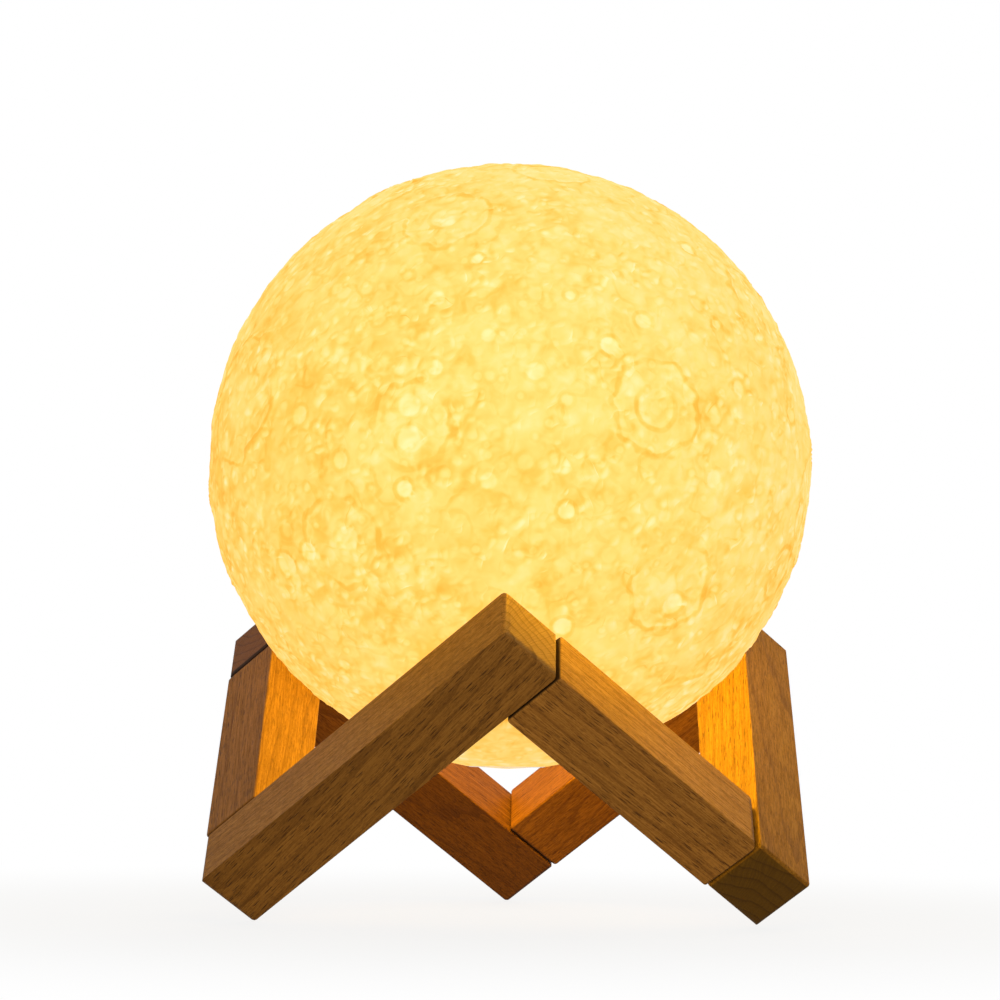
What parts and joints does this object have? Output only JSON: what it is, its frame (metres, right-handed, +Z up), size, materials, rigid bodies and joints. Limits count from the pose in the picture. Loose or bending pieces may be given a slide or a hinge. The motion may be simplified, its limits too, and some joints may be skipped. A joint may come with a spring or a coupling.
{
  "type": "moon lamp",
  "caption": "Glowing relief globe lamp with a charging base, resting loose in a stand of square wooden bars joined as a zigzag ring of cube edges.",
  "frame": {"origin": "on the floor under the globe's centre, at the middle of the three feet", "axes": "+Z up through the globe's centre, -Y towards the front peak of the stand, +X to the viewer's right"},
  "size_m": [0.1495, 0.1642, 0.1853],
  "materials": {
    "beech_wood": "oiled",
    "dowel_wood": "raw",
    "shade_plastic": "printed, lit from inside",
    "cap_plastic": "satin",
    "ring_metal": "polished",
    "contact_brass": "plain",
    "socket_steel": "plated",
    "screw_steel": "zinc plated",
    "black_plastic": "moulded",
    "button_plastic": "moulded",
    "light_pipe": "clear",
    "column_plastic": "moulded",
    "board_green": "solder mask",
    "board_white": "solder mask",
    "part_black": "epoxy",
    "light_chip": "phosphor",
    "cell_sleeve": "shrink film",
    "foam": "open foam",
    "red_wire": "insulation",
    "tab_nickel": "nickel strip"
  },
  "bodies": {
    "stand": {"front_left_bar": "beech_wood", "back_left_bar": "beech_wood", "right_bar": "beech_wood", "front_right_bar": "beech_wood", "left_bar": "beech_wood", "back_right_bar": "beech_wood", "dowels": "dowel_wood"},
    "moon": {"moon_shade": "shade_plastic", "mounting_collar": "column_plastic", "base_cap": "cap_plastic", "touch_ring": "ring_metal", "ring_contact_pin": "contact_brass", "charging_socket": "socket_steel", "socket_tongue": "black_plastic", "power_switch": "black_plastic", "status_light_pipe": "light_pipe", "battery_column": "column_plastic", "control_board": "board_green", "board_parts": "part_black", "light_board": "board_white", "light_chips": "light_chip", "cap_screws": "screw_steel", "light_board_screws": "screw_steel", "battery_cell": "cell_sleeve", "battery_pads": "foam", "light_wires": "red_wire", "battery_tabs": "tab_nickel"},
    "button": {"power_button": "button_plastic", "switch_plunger": "button_plastic"}
  },
  "joints": [
    {"name": "moon_lift", "type": "slide", "parent": "stand", "child": "moon", "axis": [0, 0, 1], "range_m": [0, 0.12]},
    {"name": "power_press", "type": "slide", "parent": "moon", "child": "button", "axis": [0, 0, 1], "range_m": [0, 0.0004], "stiffness_N_per_m": 400}
  ]
}
